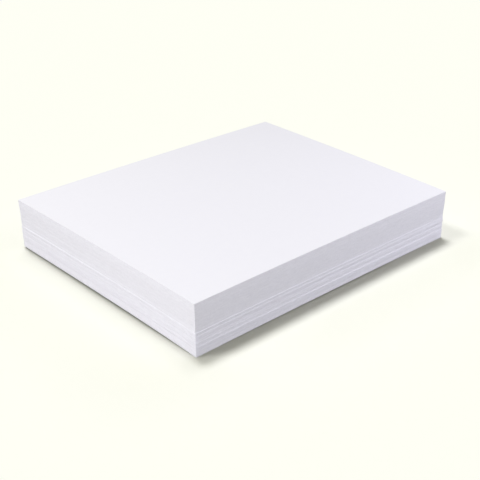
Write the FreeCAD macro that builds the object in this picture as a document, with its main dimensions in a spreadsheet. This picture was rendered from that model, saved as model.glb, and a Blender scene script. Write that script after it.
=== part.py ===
import FreeCAD, Part
import os

import Sketcher

# An unwrapped ream of office paper: five hundred letter sheets, face to face.
# The sheets lie in lifts, the handfuls that were knocked up true and laid down
# together. Each lift is one block of sheets, and it lies a fraction of a millimetre
# off its neighbours, which draws the fine lines round the stack.
# The origin is the centre of the stack's foot, on the surface that it rests on.
# +X runs along the long edge of the sheet, +Y along the short edge, and +Z is up.

# One sheet: its long edge, its short edge and its thickness, in mm.
SHEET = {
    "sheet_length": 279.4,
    "sheet_width": 215.9,
    "sheet_caliper": 0.088,
}

# The stack leans a little, because it was slid across a table by its foot. Its head lies
# this far along the long edge from its foot, in mm, and each lift takes its share of it.
LEAN = {
    "stack_lean": -2.0,
}

# The upper half of the stack was cut in one stroke, and the knife was drawn in as it
# sank. So each edge falls short of the sheet's size at the block's foot and stands
# out past it at the block's head, by these amounts in mm.
KNIFE = {
    "knife_undercut": 0.22,
    "knife_overcut": 0.25,
}
FIRST_LIFT_OF_UPPER_BLOCK = 12

# The lifts from the foot up. Each has a number of sheets, its place off the stack's
# centre line along the long edge and along the short edge in mm, and its turn in
# degrees, seen from above.
LIFTS = [
    {"sheets": 25, "along": 0.00, "across": 0.04, "turn": 0.00},
    {"sheets": 12, "along": 0.10, "across": 0.19, "turn": 0.03},
    {"sheets": 14, "along": 0.15, "across": 0.09, "turn": 0.02},
    {"sheets": 23, "along": 0.10, "across": 0.01, "turn": -0.03},
    {"sheets": 20, "along": -0.10, "across": -0.09, "turn": 0.01},
    {"sheets": 33, "along": -0.05, "across": 0.16, "turn": 0.04},
    {"sheets": 23, "along": 0.00, "across": 0.10, "turn": -0.02},
    {"sheets": 28, "along": 0.05, "across": 0.32, "turn": 0.03},
    {"sheets": 18, "along": 0.10, "across": -0.09, "turn": -0.01},
    {"sheets": 11, "along": 0.05, "across": 0.06, "turn": -0.04},
    {"sheets": 18, "along": -0.08, "across": -0.03, "turn": 0.03},
    {"sheets": 33, "along": 0.00, "across": 0.00, "turn": 0.01},
    {"sheets": 57, "along": 0.05, "across": 0.00, "turn": 0.02},
    {"sheets": 108, "along": 0.12, "across": -0.08, "turn": -0.01},
    {"sheets": 77, "along": 0.05, "across": 0.00, "turn": 0.01},
]


def lift_name(number):
    return f"lift_{number:02d}"


def height_of(first, last):
    """The expression for the height of a run of lifts, from its sheets and their caliper."""
    counts = [f"sizes.{lift_name(number)}_sheets" for number in range(first, last + 1)]
    return f"({' + '.join(counts)}) * sizes.sheet_caliper"


def write_sizes(document):
    """Put every driving size into one spreadsheet, a row each, under its own alias."""
    table = document.addObject("Spreadsheet::Sheet", "sizes")
    sizes = {**SHEET, **LEAN, **KNIFE}
    for number, lift in enumerate(LIFTS, start=1):
        for quality, value in lift.items():
            sizes[f"{lift_name(number)}_{quality}"] = value
    for row, (alias, value) in enumerate(sizes.items(), start=1):
        table.set(f"A{row}", alias)
        table.set(f"B{row}", str(value))
        table.setAlias(f"B{row}", alias)
    document.recompute()


def base_plane(body):
    """The body's own XY plane, on which its outline is drawn."""
    for feature in body.Origin.OriginFeatures:
        if feature.Role == "XY_Plane":
            return feature
    raise RuntimeError(f"{body.Label} has no XY plane")


def draw_outline(body, name, growth):
    """A rectangle about the body's origin: one sheet, grown at each edge by growth."""
    sketch = body.newObject("Sketcher::SketchObject", f"{name}_outline")
    sketch.AttachmentSupport = [(base_plane(body), "")]
    sketch.MapMode = "FlatFace"
    half_length = SHEET["sheet_length"] / 2
    half_width = SHEET["sheet_width"] / 2
    corners = [
        FreeCAD.Vector(-half_length, -half_width, 0),
        FreeCAD.Vector(half_length, -half_width, 0),
        FreeCAD.Vector(half_length, half_width, 0),
        FreeCAD.Vector(-half_length, half_width, 0),
    ]
    for start, end in zip(corners, corners[1:] + corners[:1]):
        sketch.addGeometry(Part.LineSegment(start, end), False)
    front, right, back, left = range(4)
    start, end = 1, 2
    for edge, following in ((front, right), (right, back), (back, left), (left, front)):
        sketch.addConstraint(Sketcher.Constraint("Coincident", edge, end, following, start))
    for edge in (front, back):
        sketch.addConstraint(Sketcher.Constraint("Horizontal", edge))
    for edge in (right, left):
        sketch.addConstraint(Sketcher.Constraint("Vertical", edge))
    origin_point = (-1, 1)
    sketch.addConstraint(Sketcher.Constraint("Symmetric", front, start, back, start, *origin_point))
    length = sketch.addConstraint(
        Sketcher.Constraint("DistanceX", front, start, front, end, 2 * half_length)
    )
    width = sketch.addConstraint(
        Sketcher.Constraint("DistanceY", right, start, right, end, 2 * half_width)
    )
    sketch.setExpression(f"Constraints[{length}]", f"sizes.sheet_length + 2 * ({growth})")
    sketch.setExpression(f"Constraints[{width}]", f"sizes.sheet_width + 2 * ({growth})")
    return sketch


def make_lift(document, number):
    """One lift of sheets, standing on the lift below it."""
    name = lift_name(number)
    body = document.addObject("PartDesign::Body", name)
    body.Label = name

    first = FIRST_LIFT_OF_UPPER_BLOCK
    in_upper_block = number >= first
    slope = f"(sizes.knife_undercut + sizes.knife_overcut) / ({height_of(first, len(LIFTS))})"
    growth = "0"
    if in_upper_block:
        risen = height_of(first, number - 1) if number > first else "0"
        growth = f"{slope} * {risen} - sizes.knife_undercut"

    pad = body.newObject("PartDesign::Pad", f"{name}_sheets")
    pad.Profile = draw_outline(body, name, growth)
    pad.setExpression("Length", height_of(number, number))
    if in_upper_block:
        pad.setExpression("TaperAngle", f"atan({slope})")
    body.Tip = pad

    foot = height_of(1, number - 1) if number > 1 else "0"
    middle = f"({foot} + {height_of(number, number)} / 2)"
    risen_share = f"({middle} / ({height_of(1, len(LIFTS))}) - 0.5)"
    body.setExpression("Placement.Base.x", f"sizes.{name}_along + sizes.stack_lean * {risen_share}")
    body.setExpression("Placement.Base.y", f"sizes.{name}_across")
    body.setExpression("Placement.Base.z", foot)
    body.setExpression("Placement.Rotation.Angle", f"sizes.{name}_turn")
    return body


def check(document, lifts):
    """Stop if any object of the document failed, or any lift isn't one sound solid."""
    for item in document.Objects:
        if "Invalid" in item.State or "Error" in item.State:
            raise RuntimeError(f"{item.Label} failed: {item.State}")
    for lift in lifts:
        shape = lift.Shape
        if shape.isNull() or not shape.isValid() or len(shape.Solids) != 1:
            raise RuntimeError(f"{lift.Label} is not one valid solid")


def report(lifts):
    """Say how high each lift stands, and how large the stack is."""
    stack = FreeCAD.BoundBox()
    for lift in lifts:
        box = lift.Shape.BoundBox
        stack.add(box)
        print(f"{lift.Label}: {box.ZMin:.3f} to {box.ZMax:.3f} mm, {box.XLength:.2f} x {box.YLength:.2f}")
    print(f"stack: X {stack.XMin:.3f} to {stack.XMax:.3f}, Y {stack.YMin:.3f} to {stack.YMax:.3f}")
    print(f"stack: Z {stack.ZMin:.3f} to {stack.ZMax:.3f}, {sum(lift['sheets'] for lift in LIFTS)} sheets")


def main():
    document = FreeCAD.newDocument("ream_of_paper")
    write_sizes(document)
    lifts = [make_lift(document, number) for number in range(1, len(LIFTS) + 1)]
    document.recompute()
    check(document, lifts)
    report(lifts)
    os.makedirs("parts", exist_ok=True)
    for lift in lifts:
        lift.Shape.exportStep(f"parts/{lift.Label}.step")


main()
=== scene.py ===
# %% [markdown]
# # A ream of office paper
# The object is a block of five hundred white sheets, unwrapped and lying flat. Nothing holds
# it together but its own weight. What makes it look like paper, and not like a painted box,
# is at its edges: every sheet lies a hair's breadth off the next, and whole handfuls, called
# lifts here, lie a little off their neighbours. This lesson builds all five hundred sheets.

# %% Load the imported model
import math

import bpy
import numpy as np
from mathutils import Matrix, Vector


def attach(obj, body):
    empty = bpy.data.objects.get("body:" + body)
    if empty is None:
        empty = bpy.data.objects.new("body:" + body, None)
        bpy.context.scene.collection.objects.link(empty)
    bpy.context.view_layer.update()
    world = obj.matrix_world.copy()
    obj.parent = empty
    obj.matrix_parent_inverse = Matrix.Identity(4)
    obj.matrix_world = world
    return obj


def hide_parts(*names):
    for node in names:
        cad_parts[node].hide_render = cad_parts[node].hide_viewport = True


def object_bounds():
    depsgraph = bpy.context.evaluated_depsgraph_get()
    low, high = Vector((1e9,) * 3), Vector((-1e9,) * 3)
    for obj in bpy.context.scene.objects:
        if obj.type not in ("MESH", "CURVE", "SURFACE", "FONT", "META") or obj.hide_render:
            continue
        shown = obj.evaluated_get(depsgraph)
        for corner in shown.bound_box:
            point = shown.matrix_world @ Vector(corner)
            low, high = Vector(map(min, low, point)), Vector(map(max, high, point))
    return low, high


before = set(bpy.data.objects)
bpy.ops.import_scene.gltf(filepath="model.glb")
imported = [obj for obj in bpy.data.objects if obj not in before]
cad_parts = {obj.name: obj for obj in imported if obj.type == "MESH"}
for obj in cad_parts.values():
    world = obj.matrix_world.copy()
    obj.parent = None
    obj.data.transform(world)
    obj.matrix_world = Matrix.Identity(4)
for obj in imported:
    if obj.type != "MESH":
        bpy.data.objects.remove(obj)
cad_low, cad_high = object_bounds()
print(f"packed model: {len(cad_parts)} lifts, {(cad_high - cad_low) * 1000} mm")

# %% [markdown]
# ## The camera
# The stack is seen from above its nearest corner with a long lens, so its edges run almost
# parallel. A camera could be turned by hand until it looks right. Here it is placed by numbers
# instead: how far round the stack it stands, how high, how far away, and how much it leans.

# %% Camera
MM = 0.001
IMAGE_WIDTH_MM = 36
CAMERA_AZIMUTH = math.radians(-43.98)
CAMERA_ELEVATION = math.radians(27.22)
CAMERA_LEAN = math.radians(1.505)
CAMERA_DISTANCE = 844.6 * MM
CAMERA_AIM = Vector((5.73, 1.36, 0)) * MM
LENS_MM = 74.66


def place_camera():
    """A camera that looks at the aim point from the given side, leaning to its left."""
    towards_camera = Vector((
        math.sin(CAMERA_AZIMUTH) * math.cos(CAMERA_ELEVATION),
        -math.cos(CAMERA_AZIMUTH) * math.cos(CAMERA_ELEVATION),
        math.sin(CAMERA_ELEVATION),
    ))
    level_right = Vector((math.cos(CAMERA_AZIMUTH), math.sin(CAMERA_AZIMUTH), 0))
    level_up = towards_camera.cross(level_right)
    right = level_right * math.cos(CAMERA_LEAN) + level_up * math.sin(CAMERA_LEAN)
    up = level_up * math.cos(CAMERA_LEAN) - level_right * math.sin(CAMERA_LEAN)
    lens = bpy.data.cameras.new("camera")
    lens.sensor_width = IMAGE_WIDTH_MM
    lens.lens = LENS_MM
    camera = bpy.data.objects.new("camera", lens)
    turn = Matrix((right, up, towards_camera)).transposed().to_4x4()
    camera.matrix_world = Matrix.Translation(CAMERA_AIM + towards_camera * CAMERA_DISTANCE) @ turn
    bpy.context.scene.collection.objects.link(camera)
    bpy.context.scene.camera = camera
    return camera


camera = place_camera()
print(f"camera at {camera.matrix_world.translation * 1000} mm")

# %% [markdown]
# ## Writing materials as sums
# Blender draws a material as a net of boxes and wires. In a script that soon gets hard to read.
# So one small class holds an output of a node and lets Python's own signs add the maths nodes,
# and `1 - mask` reads as it would on paper. Colours are blended by `blend` and vectors stretched
# by `stretch`. `ramp` and `hill` turn a place into a soft share from 0 to 1, and every other node
# comes from `node`.

# %% A socket that can be added and multiplied
class Wire:
    """A socket in a shader tree, which maths signs and `node` turn into more nodes."""

    def __init__(self, tree, socket=None):
        self.tree = tree
        self.socket = socket

    def node(self, kind, settings=None, output=0, **inputs):
        """Adds a node: its settings first, then its sockets. An input _2 is the third socket."""
        made = self.tree.nodes.new(kind)
        for name, value in (settings or {}).items():
            setattr(made, name, value)
        for name, value in inputs.items():
            socket = made.inputs[int(name[1:]) if name.startswith("_") else name.replace("_", " ")]
            if isinstance(value, Wire):
                self.tree.links.new(value.socket, socket)
            else:
                socket.default_value = value
        return Wire(self.tree, made.outputs[output] if made.outputs else None)

    def maths(self, operation, first, second):
        return self.node("ShaderNodeMath", {"operation": operation}, _0=first, _1=second)

    def __add__(self, other):
        return self.maths("ADD", self, other)

    def __radd__(self, other):
        return self.maths("ADD", other, self)

    def __sub__(self, other):
        return self.maths("SUBTRACT", self, other)

    def __rsub__(self, other):
        return self.maths("SUBTRACT", other, self)

    def __mul__(self, other):
        return self.maths("MULTIPLY", self, other)

    def __rmul__(self, other):
        return self.maths("MULTIPLY", other, self)

    def blend(self, first, second):
        """A colour between two, with this wire as the share of the second."""
        colours = {"_6": first, "_7": second}
        return self.node("ShaderNodeMix", {"data_type": "RGBA"}, output=2, _0=self, **colours)

    def stretch(self, amounts):
        """This vector with each of its parts multiplied."""
        return self.node("ShaderNodeVectorMath", {"operation": "MULTIPLY"}, _0=self, _1=amounts)

    def ramp(self, start, end):
        """How far this wire has come from start to end, from 0 to 1, with a soft start and end."""
        settings = {"interpolation_type": "SMOOTHSTEP"}
        return self.node("ShaderNodeMapRange", settings, Value=self, From_Min=start, From_Max=end)

    def hill(self, foot, top, far_top, far_foot):
        """1 from top to far_top, falling softly to 0 at the foot on either side."""
        return self.ramp(foot, top) * self.ramp(far_foot, far_top)


def new_material(name):
    """An empty material, and a wire to start its tree from."""
    material = bpy.data.materials.new(name)
    material.use_nodes = True
    material.node_tree.nodes.clear()
    return material, Wire(material.node_tree)


# %% [markdown]
# ## The floor
# The ream lies on a plain ivory floor that runs out of the picture on every side. The floor shows
# its ivory to the camera alone. The light that it throws back on the paper comes from a plain
# darker grey, because a strong cream glow from below would take the blue out of the paper and
# fill the ledges between the lifts.
#
# The stack is bright, and throws light on the floor in front of its two lit sides. In those two
# places the floor is painted a little darker, by as much as that light adds, so all of it looks
# even. Each place is a hill along x times a hill along y.

# %% Floor
FLOOR_SIDE = 12.0
IVORY = (1.0, 1.0, 0.97, 1)
FLOOR_BOUNCE = (0.32, 0.32, 0.33, 1)
DARKER_IVORY = [
    # foot, top, far top and far foot of the hill along x in metres, the same along y, the ivory
    ((-0.265, -0.145, -0.12, 0.0), (-0.175, -0.08, 0.08, 0.175), (0.936, 0.936, 0.875, 1)),
    ((-0.12, -0.02, 0.12, 0.20), (-0.19, -0.13, -0.13, -0.116), (0.945, 0.945, 0.892, 1)),
]


def make_floor():
    """One wide square under the stack, which the camera sees as ivory."""
    material, start = new_material("ivory_floor")
    place = start.node("ShaderNodeTexCoord", output="Object")
    x = start.node("ShaderNodeSeparateXYZ", output="X", Vector=place)
    y = start.node("ShaderNodeSeparateXYZ", output="Y", Vector=place)
    colour = IVORY
    for along_x, along_y, darker in DARKER_IVORY:
        colour = (x.hill(*along_x) * y.hill(*along_y)).blend(colour, darker)
    matt = {"Roughness": 1.0, "Specular_IOR_Level": 0.0}
    seen = start.node("ShaderNodeBsdfPrincipled", Base_Color=colour, **matt)
    bounce = start.node("ShaderNodeBsdfDiffuse", Color=FLOOR_BOUNCE)
    by_camera = start.node("ShaderNodeLightPath", output="Is Camera Ray")
    surface = start.node("ShaderNodeMixShader", _0=by_camera, _1=bounce, _2=seen)
    start.node("ShaderNodeOutputMaterial", Surface=surface)
    half = FLOOR_SIDE / 2
    mesh = bpy.data.meshes.new("floor")
    corners = [(-half, -half, 0), (half, -half, 0), (half, half, 0), (-half, half, 0)]
    mesh.from_pydata(corners, [], [(0, 1, 2, 3)])
    mesh.materials.append(material)
    made = bpy.data.objects.new("floor", mesh)
    bpy.context.scene.collection.objects.link(made)
    return made


floor = make_floor()
print(f"floor: {FLOOR_SIDE} m square")

# %% [markdown]
# ## The sky
# A weak even light comes from all round and keeps the shadow from going black. It is a little
# yellow. Deep in the shadow it is nearly the only light that is left, so the shadow takes that
# tint. Out of the shadow it adds to the yellow of the floor, and that is why the floor's own
# colour is written a little paler than it comes out. The camera sees the sky as the lit floor.

# %% Sky
SKYLIGHT = (0.99, 1.0, 0.74, 1)
SKYLIGHT_LEVEL = 0.24
IVORY_IN_THE_LIGHT = (1.0, 1.0, 0.913, 1)


def make_sky():
    """The world: a weak even light, which the camera sees as the same ivory."""
    world = bpy.data.worlds.new("studio")
    world.use_nodes = True
    world.node_tree.nodes.clear()
    start = Wire(world.node_tree)
    seen = start.node("ShaderNodeBackground", Color=IVORY_IN_THE_LIGHT, Strength=1.0)
    light = start.node("ShaderNodeBackground", Color=SKYLIGHT, Strength=SKYLIGHT_LEVEL)
    by_camera = start.node("ShaderNodeLightPath", output="Is Camera Ray")
    surface = start.node("ShaderNodeMixShader", _0=by_camera, _1=light, _2=seen)
    start.node("ShaderNodeOutputWorld", Surface=surface)
    bpy.context.scene.world = world


make_sky()

# %% [markdown]
# ## The lamps
# A product studio lights the table and the product apart, and so does this one. Distant lamps,
# like wide suns, light the floor only. They stand high over the stack and a little behind it: the
# main one in the middle, a weaker one to the left and the weakest to the right. So the shadow lies
# as a soft dark band along the long side, and only a thin line of it shows at the left end.
#
# Near lamps light the paper only: a strong one at the front right with a weak one low beside it,
# and three on the left, one behind, one high and one low. Between them they set the tone of each
# side, and they pick out every ledge between two lifts. All are a little blue, and those on the
# right are the bluest, so the long side comes out a shade cooler than the top.
#
# Each level is how bright a white card would be under that lamp alone. The floor's card lies
# flat, and the paper's card faces the lamp. The levels of the floor lamps and the skylight add up
# to one, so the floor is as bright as its colour is written.

# %% Hang a lamp
STACK_MIDDLE = Vector((0, 0, 0.021))


def new_collection(name):
    made = bpy.data.collections.new(name)
    bpy.context.scene.collection.children.link(made)
    return made


def hang_lamp(data, place, lit):
    """Hangs a lamp at a place, turned to the stack. It lights one collection only."""
    lamp = bpy.data.objects.new(data.name, data)
    lamp.location = place
    lamp.rotation_euler = (lamp.location - STACK_MIDDLE).to_track_quat("Z", "Y").to_euler()
    lamp.light_linking.receiver_collection = lit
    bpy.context.scene.collection.objects.link(lamp)


paper_pieces = new_collection("paper_pieces")
stage_pieces = new_collection("stage_pieces")
stage_pieces.objects.link(floor)

# %% Lamps of the floor
FLOOR_LAMP_DISTANCE = 3.0
FLOOR_LAMPS = [
    # name, direction to it from the stack, how wide it looks in degrees, level
    ("key", (0.02, 0.27, 1.0), 14, 0.46),
    ("left_key", (-0.60, 0.27, 1.0), 14, 0.20),
    ("right_key", (0.30, 0.27, 1.0), 14, 0.10),
]

for name, direction, width, level in FLOOR_LAMPS:
    data = bpy.data.lights.new(name, "SUN")
    direction = Vector(direction).normalized()
    data.energy = level * math.pi / direction.z
    data.angle = math.radians(width)
    hang_lamp(data, direction * FLOOR_LAMP_DISTANCE, lit=stage_pieces)

print(f"levels on the floor: {SKYLIGHT_LEVEL + sum(lamp[3] for lamp in FLOOR_LAMPS):.2f}")

# %% Lamps of the paper
LAMP_RED = 1.0
LAMP_GREEN = 0.99
PAPER_LAMPS = [
    # name, its place in metres, its side in metres, level, how blue it is
    ("front_right", (0.70, -0.55, 0.60), 0.4, 0.56, 1.155),
    ("low_right", (0.35, -1.00, 0.15), 0.5, 0.042, 1.155),
    ("back_left", (-0.50, 0.60, 0.80), 0.5, 0.465, 1.03),
    ("high_left", (-0.75, -0.25, 0.75), 0.5, 0.20, 1.04),
    ("low_left", (-1.00, -0.35, 0.20), 0.5, 0.39, 1.02),
]

for name, place, side, level, blue in PAPER_LAMPS:
    data = bpy.data.lights.new(name, "AREA")
    data.size = side
    data.color = (LAMP_RED, LAMP_GREEN, blue)
    data.energy = level * math.pi**2 * (Vector(place) - STACK_MIDDLE).length_squared
    hang_lamp(data, place, lit=paper_pieces)

bpy.context.scene.view_settings.view_transform = "Standard"
print(f"{len(FLOOR_LAMPS)} lamps for the floor, {len(PAPER_LAMPS)} for the paper")

# %% [markdown]
# ## The paper
# White office paper is bright and a little blue, because its maker adds a whitener. It has no
# shine. Up close its face is not even: the fibres lie in soft clouds a few millimetres wide, and
# the felt that carried the wet sheet left a fine tooth. The clouds go into the colour and the
# tooth into a bump, both faint.

# %% Material of the sheet's face
PAPER = (0.885, 0.880, 0.925, 1)
PAPER_IN_CLOUDS = (0.868, 0.863, 0.910, 1)
CLOUDS_PER_METRE = 210.0
TOOTH_PER_METRE = 1500.0
TOOTH_HEIGHT = 0.05 * MM
TOOTH_STRENGTH = 0.12
FACE_ROUGHNESS = 0.72
ROUGHNESS_SPREAD = 0.1


def paper_face():
    """The flat of a sheet: soft clouds of fibre, and a fine tooth."""
    material, start = new_material("paper_face")
    place = start.node("ShaderNodeTexCoord", output="Object")
    clouds = start.node("ShaderNodeTexNoise", Vector=place, Scale=CLOUDS_PER_METRE, Detail=3.0)
    tooth = start.node("ShaderNodeTexNoise", Vector=place, Scale=TOOTH_PER_METRE, Detail=4.0)
    depth = {"Strength": TOOTH_STRENGTH, "Distance": TOOTH_HEIGHT}
    bump = start.node("ShaderNodeBump", Height=tooth, **depth)
    surface = start.node(
        "ShaderNodeBsdfPrincipled",
        Base_Color=clouds.blend(PAPER, PAPER_IN_CLOUDS),
        Roughness=FACE_ROUGHNESS + ROUGHNESS_SPREAD * (tooth - 0.5),
        Normal=bump,
    )
    start.node("ShaderNodeOutputMaterial", Surface=surface)
    return material


face_finish = paper_face()

# %% [markdown]
# The cut edges are another finish. Each sheet shows there as a line a tenth of a millimetre high,
# and no two have quite the same tone. The knife leaves faint streaks along the cut, and torn
# fibres make it rough. The tones are written on the mesh, and the rest is noise: one kind drawn
# out along the cut for the streaks, and one fine and even for the fibres.

# %% Material of the cut edges
# On average the two edge colours lie a little below PAPER. That is painted shade for the light lost
# in the fine gaps between the sheets, on top of the real gaps in the mesh. The spread between the
# two colours is real: the sheets' own tones, the streaks and the fuzz.
EDGE = (0.905, 0.898, 0.945, 1)
EDGE_SHADE = (0.79, 0.782, 0.832, 1)
EDGE_ROUGHNESS = 0.85
STREAKS_PER_METRE = (150.0, 150.0, 1000.0)
FUZZ_PER_METRE = 800.0
FUZZ_HEIGHT = 0.04 * MM
FUZZ_STRENGTH = 0.25
STREAK_WEIGHT = 1.0
TONE_WEIGHT = 0.4
FUZZ_WEIGHT = 0.9
# Each part is a half on average, and so is their sum once this is taken away.
SPARE_WEIGHT = (STREAK_WEIGHT + TONE_WEIGHT + FUZZ_WEIGHT - 1) / 2


def paper_edge():
    """The cut edges: each sheet has its own tone, and the knife left faint streaks along it."""
    material, start = new_material("paper_edge")
    place = start.node("ShaderNodeTexCoord", output="Object")
    tone = start.node("ShaderNodeAttribute", {"attribute_name": "sheet_tone"}, output="Fac")
    drawn_out = place.stretch(STREAKS_PER_METRE)
    streaks = start.node("ShaderNodeTexNoise", Vector=drawn_out, Scale=1.0, Detail=2.0)
    fuzz = start.node("ShaderNodeTexNoise", Vector=place, Scale=FUZZ_PER_METRE, Detail=5.0)
    shade = STREAK_WEIGHT * streaks + TONE_WEIGHT * tone + FUZZ_WEIGHT * fuzz - SPARE_WEIGHT
    depth = {"Strength": FUZZ_STRENGTH, "Distance": FUZZ_HEIGHT}
    bump = start.node("ShaderNodeBump", Height=fuzz, **depth)
    surface = start.node(
        "ShaderNodeBsdfPrincipled",
        Base_Color=shade.blend(EDGE, EDGE_SHADE),
        Roughness=EDGE_ROUGHNESS + ROUGHNESS_SPREAD * (fuzz - 0.5),
        Normal=bump,
    )
    start.node("ShaderNodeOutputMaterial", Surface=surface)
    return material


edge_finish = paper_edge()
print(f"finishes: {face_finish.name} and {edge_finish.name}")

# %% [markdown]
# ## Where each lift lies
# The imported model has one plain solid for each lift. Its four corners at the foot and its four at
# the head say where the handful lies, how it is turned, and how the knife cut it. The sheets are
# laid between the two, so nothing is measured twice.

# %% Read the lifts
SHEETS_IN_A_REAM = 500
SAME_POINT_DIGITS = 7
SAME_LEVEL = 0.001 * MM
stack_height = cad_high.z - cad_low.z
caliper = stack_height / SHEETS_IN_A_REAM


def outline(points):
    """(middle x, middle y, half length, half width, turn) of a level rectangle of points."""
    flat = np.unique(np.round(points[:, :2], SAME_POINT_DIGITS), axis=0)
    middle = (flat.min(0) + flat.max(0)) / 2
    place = flat - middle
    corner = {(sx, sy): place[np.argmax(place @ (sx, sy))] for sx in (-1, 1) for sy in (-1, 1)}
    length = (corner[1, -1] + corner[1, 1] - corner[-1, -1] - corner[-1, 1]) / 2
    width = (corner[-1, 1] + corner[1, 1] - corner[-1, -1] - corner[1, -1]) / 2
    turn = math.atan2(length[1], length[0])
    return np.array([*middle, np.hypot(*length) / 2, np.hypot(*width) / 2, turn])


def read_lift(node):
    """The foot and the head of one lift, and how many sheets fit between them."""
    points = np.array([vertex.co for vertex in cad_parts[node].data.vertices])
    low, high = points[:, 2].min(), points[:, 2].max()
    return {
        "node": node,
        "low": low - cad_low.z,
        "high": high - cad_low.z,
        "foot": outline(points[points[:, 2] < low + SAME_LEVEL]),
        "head": outline(points[points[:, 2] > high - SAME_LEVEL]),
        "sheets": round((high - low) / caliper),
    }


lifts = [read_lift(node) for node in sorted(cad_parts)]
for lift in lifts:
    print(f"{lift['node']}: {lift['sheets']} sheets from {lift['low'] * 1000:.2f} mm")

# %% [markdown]
# ## The lean of the stack
# A ream that was pushed along by its foot leans. The plain solids take that in steps, each one
# upright and a little further on than the one below. Real sheets share it evenly. So the lean is
# measured once, through the middles of all the lifts, and the foot and the head of each lift are
# moved to follow it.

# %% Let the stack lean all the way up
heights = np.array([(lift["low"] + lift["high"]) / 2 for lift in lifts])
middles = np.array([(lift["foot"][:2] + lift["head"][:2]) / 2 for lift in lifts])
lean, _ = np.polyfit(heights, middles, 1, w=np.sqrt([lift["sheets"] for lift in lifts]))
print(f"the head of the stack lies {lean * stack_height * 1000} mm from its foot")
for lift in lifts:
    rise = (lift["high"] - lift["low"]) / 2
    lift["foot"][:2] -= lean * rise
    lift["head"][:2] += lean * rise

# %% [markdown]
# ## How the sheets slide
# The sheets of a lift lie up to a few hundredths of a millimetre out of line, in slow drifts and
# in single steps. They could be shifted by pure chance, but then no drift would show, and drifts
# are what the eye reads as a handful. So a random walk makes the drift, and a second draw adds the
# single steps. Both are seeded, so that the stack is the same each time.

# %% Scatter
SEED = 500
WALK_STEP = 0.35
DRIFT_WEIGHT = 1.2
STEP_WEIGHT = 0.8
LARGEST_STEP = 2
random = np.random.default_rng(SEED)


def scatter(count, amount):
    """A sideways place for each of a lift's sheets: a slow drift and single steps, about zero."""
    drift = np.cumsum(random.normal(0, WALK_STEP, (count, 2)), axis=0)
    drift -= drift.mean(0)
    drift /= max(1.0, np.abs(drift).max())
    steps = random.normal(0, 1, (count, 2)).clip(-LARGEST_STEP, LARGEST_STEP)
    return amount * (DRIFT_WEIGHT * drift + STEP_WEIGHT * steps)


# %% [markdown]
# ## How the stack bows
# A stack that has lain in the open bows, so its corners hang lower than the middles of its edges.
# And its left end has curled about a millimetre off the table, all but the near corner, which
# leaves the thin dark line under it. A lattice could bend the finished meshes. One function of
# height and place is simpler, and every point of the stack goes through it as it is made.

# %% Bow and curl
FOOT_LIFT = 0.6 * MM
HEAD_RISE = 0.6 * MM
CORNER_SINK = 0.1 * MM
END_CURL = 1.15 * MM
CURL_POWER = 8
FLAT_CORNER_POWER = 6


def bowed(height, u, v):
    """The height of a point once the stack has bowed and its left end has curled off the table.

    u and v run from -1 to 1 along the sheet and across it.
    """
    share = height / stack_height
    near_corner = (u * v) ** 2
    at_near_side = ((1 - v) / 2) ** FLAT_CORNER_POWER
    at_left_end = np.clip(-u, 0, 1) ** CURL_POWER * (1 - at_near_side)
    lift_off = FOOT_LIFT * (1 - near_corner) + END_CURL * at_left_end
    head = stack_height + HEAD_RISE - (HEAD_RISE + CORNER_SINK) * near_corner
    return lift_off + share * (head - lift_off)


print(f"middle of the left end: {bowed(0, -1, 0) / MM:.2f} mm off the table")

# %% [markdown]
# ## One lift, sheet by sheet
# Five hundred separate slabs would spend most of their faces on the insides, where nobody looks.
# So each lift is one closed skin. It runs up the cut edge of a sheet, dips into the fine gap above
# it, and runs up the next, shifted as that sheet is. A grid of points closes it at foot and head.
#
# The grid comes first. Its rim is what every sheet of a lift repeats, and its inner places are
# needed only at foot and head. It has enough steps for the bow to look smooth.

# %% The grid of a sheet
LONG_STEPS = 20
SHORT_STEPS = 16


def rim_of_grid():
    """Grid places round a sheet's rim, anticlockwise from its near left corner."""
    near = [(column, 0) for column in range(LONG_STEPS)]
    right = [(LONG_STEPS, row) for row in range(SHORT_STEPS)]
    far = [(column, SHORT_STEPS) for column in range(LONG_STEPS, 0, -1)]
    left = [(0, row) for row in range(SHORT_STEPS, 0, -1)]
    return near + right + far + left


RIM = rim_of_grid()
ALL_PLACES = [(c, r) for r in range(SHORT_STEPS + 1) for c in range(LONG_STEPS + 1)]
INNER_PLACES = [place for place in ALL_PLACES if place not in set(RIM)]
print(f"{len(RIM)} places round a sheet, {len(INNER_PLACES)} inside it")

# %% [markdown]
# Each sheet gives two rings of points, one just above its lower face and one just below its upper
# face, where the cut edge is nipped in by a hair. A third ring lies a little inward and closes the
# gap to the next sheet. A bump in the material would give the same lines at a distance, but real
# gaps catch the light from every side.

# %% The rings up the side
NIP = 0.007 * MM
GAP_DEPTH = 0.03 * MM


def points_at(places, outline_now, height, inset=0.0):
    """Where grid places of a sheet lie in the stack."""
    x, y, half_length, half_width, turn = outline_now
    u = np.array([2 * column / LONG_STEPS - 1 for column, _ in places])
    v = np.array([2 * row / SHORT_STEPS - 1 for _, row in places])
    along = u * (half_length - inset)
    across = v * (half_width - inset)
    return np.column_stack([
        x + along * math.cos(turn) - across * math.sin(turn),
        y + along * math.sin(turn) + across * math.cos(turn),
        cad_low.z + bowed(height, u, v),
    ])


def rings_of(lift, slides):
    """The rings up the side of a lift, and the number of the sheet that each belongs to."""
    rings, owners = [], []
    for number in range(lift["sheets"]):
        share = (number + 0.5) / lift["sheets"]
        here = lift["foot"] + (lift["head"] - lift["foot"]) * share
        here[:2] += slides[number]
        low = lift["low"] + number * caliper
        rings += [points_at(RIM, here, low + NIP), points_at(RIM, here, low + caliper - NIP)]
        owners += [number, number]
        if number < lift["sheets"] - 1:
            rings.append(points_at(RIM, here, low + caliper, GAP_DEPTH))
            owners.append(number)
    return rings, owners


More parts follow.
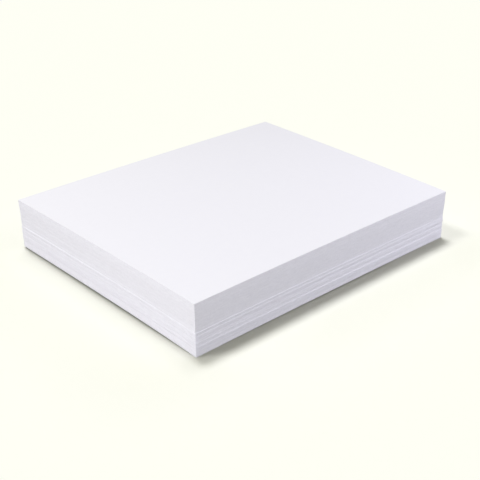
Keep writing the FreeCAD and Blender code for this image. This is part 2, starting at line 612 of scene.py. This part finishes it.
# %% [markdown]
# The skin is stitched by counting. Each ring has the same number of points, so a face of the side
# joins two neighbours on a ring to the two above them. The caps use the grid. All faces turn the
# same way, outward, so that the mesh is a closed solid.

# %% The faces of the skin
def cap_faces(rim_start, inner_start, facing_up):
    """The faces of a grid whose rim and inner points start at two numbers in the mesh."""
    numbers = {place: rim_start + i for i, place in enumerate(RIM)}
    numbers |= {place: inner_start + i for i, place in enumerate(INNER_PLACES)}
    faces = []
    for row in range(SHORT_STEPS):
        for column in range(LONG_STEPS):
            corners = [(column, row), (column + 1, row), (column + 1, row + 1), (column, row + 1)]
            face = [numbers[corner] for corner in corners]
            faces.append(face if facing_up else face[::-1])
    return faces


def skin_faces(ring_count):
    """The faces of a lift: its sides ring by ring, then its foot, then its head."""
    count = len(RIM)
    faces = []
    for ring in range(ring_count - 1):
        low, high = ring * count, (ring + 1) * count
        for i in range(count):
            j = (i + 1) % count
            faces.append([low + i, low + j, high + j, high + i])
    inner = ring_count * count
    faces += cap_faces(0, inner, facing_up=False)
    faces += cap_faces(inner - count, inner + len(INNER_PLACES), facing_up=True)
    return faces


# %% [markdown]
# Paper from one mill still differs a little from sheet to sheet. So each sheet gets a tone of its
# own, and each lift one that its sheets share. The tone is kept on the points of the mesh, where
# the material of the cut edges reads it.

# %% A tone for each sheet
LIFT_TONE_WEIGHT = 0.4
SHEET_TONE_WEIGHT = 0.6


def write_tones(mesh, owners, sheets):
    """Gives every sheet of a lift a tone of its own, near the tone of its lift."""
    tones = LIFT_TONE_WEIGHT * random.uniform() + SHEET_TONE_WEIGHT * random.uniform(0, 1, sheets)
    values = np.full(len(mesh.vertices), tones.mean())
    values[: len(owners) * len(RIM)] = np.repeat(tones[owners], len(RIM))
    layer = mesh.attributes.new("sheet_tone", "FLOAT", "POINT")
    layer.data.foreach_set("value", values)


# %% [markdown]
# ## A flat map of the skin
# A model that leaves this lesson takes its colours along as a picture, and a picture needs a flat
# map of the skin. An automatic map would cut five hundred thin ribbons. Written out one by one it
# is
# simple: the sides unroll into one wide strip, and foot and head lie above it as two cards. Only
# the topmost lift shows its head, so there the head gets most of the map.

# %% The map
# Each box is (left, low, right, high) on a map that runs from 0 to 1.
INNER_LIFT_MAP = {"sides": (0, 0, 1, 0.80), "foot": (0, 0.82, 0.49, 1), "head": (0.51, 0.82, 1, 1)}
TOP_LIFT_MAP = {"sides": (0, 0, 0.92, 0.26), "foot": (0.94, 0, 1, 0.26), "head": (0, 0.28, 1, 1)}


def in_box(box, corners):
    """Corners that run from 0 to 1, moved into a box of the map."""
    left, low, right, high = box
    return np.array(corners) * (right - left, high - low) + (left, low)


def lay_flat(mesh, ring_count, boxes):
    """Writes the map: the same faces in the same order as skin_faces makes them."""
    around = np.arange(len(RIM) + 1) / len(RIM)
    upward = np.arange(ring_count) / (ring_count - 1)
    sides = [
        [(left, low), (right, low), (right, high), (left, high)]
        for low, high in zip(upward[:-1], upward[1:])
        for left, right in zip(around[:-1], around[1:])
    ]
    cards = [
        [(c, r), (c + 1, r), (c + 1, r + 1), (c, r + 1)]
        for r in range(SHORT_STEPS)
        for c in range(LONG_STEPS)
    ]
    head = np.array(cards) / (LONG_STEPS, SHORT_STEPS)
    flat = np.concatenate([
        in_box(boxes["sides"], sides),
        in_box(boxes["foot"], head[:, ::-1]),
        in_box(boxes["head"], head),
    ])
    layer = mesh.uv_layers.new(name="OFBake")
    layer.data.foreach_set("uv", flat.reshape(-1))


# %% [markdown]
# ## Laying the lifts
# The lower lifts were put down by hand, so their sheets slide more than those of the block above,
# which was cut in one stroke. Each finished lift stands in for its plain solid in the model.

# %% Make a lift
SHARP_EDGE = math.radians(30)


def make_lift(lift, amount, boxes):
    """One closed mesh that holds all the sheets of a lift."""
    slides = scatter(lift["sheets"], amount)
    rings, owners = rings_of(lift, slides)
    foot_now, head_now = lift["foot"].copy(), lift["head"].copy()
    foot_now[:2] += slides[0]
    head_now[:2] += slides[-1]
    points = np.vstack([
        *rings,
        points_at(INNER_PLACES, foot_now, lift["low"] + NIP),
        points_at(INNER_PLACES, head_now, lift["high"] - NIP),
    ])
    mesh = bpy.data.meshes.new(lift["node"].replace("lift", "sheets"))
    mesh.from_pydata(points.tolist(), [], skin_faces(len(rings)))
    mesh.materials.append(face_finish)
    mesh.materials.append(edge_finish)
    sides = (len(rings) - 1) * len(RIM)
    for face in mesh.polygons:
        face.material_index = 1 if face.index < sides else 0
        face.use_smooth = face.index >= sides
    mesh.set_sharp_from_angle(angle=SHARP_EDGE)
    write_tones(mesh, owners, lift["sheets"])
    lay_flat(mesh, len(rings), boxes)
    mesh.update()
    return mesh


# %% Lay the lifts
LOOSE = 0.055 * MM
TIGHT = 0.018 * MM
LOOSE_LIFTS = 11

for number, lift in enumerate(lifts, start=1):
    amount = LOOSE if number <= LOOSE_LIFTS else TIGHT
    boxes = TOP_LIFT_MAP if number == len(lifts) else INNER_LIFT_MAP
    mesh = make_lift(lift, amount, boxes)
    piece = bpy.data.objects.new(mesh.name, mesh)
    paper_pieces.objects.link(piece)
    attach(piece, "root")
    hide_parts(lift["node"])
    triangles = sum(len(face.vertices) - 2 for face in mesh.polygons)
    print(f"{piece.name}: {lift['sheets']} sheets, {triangles} triangles")
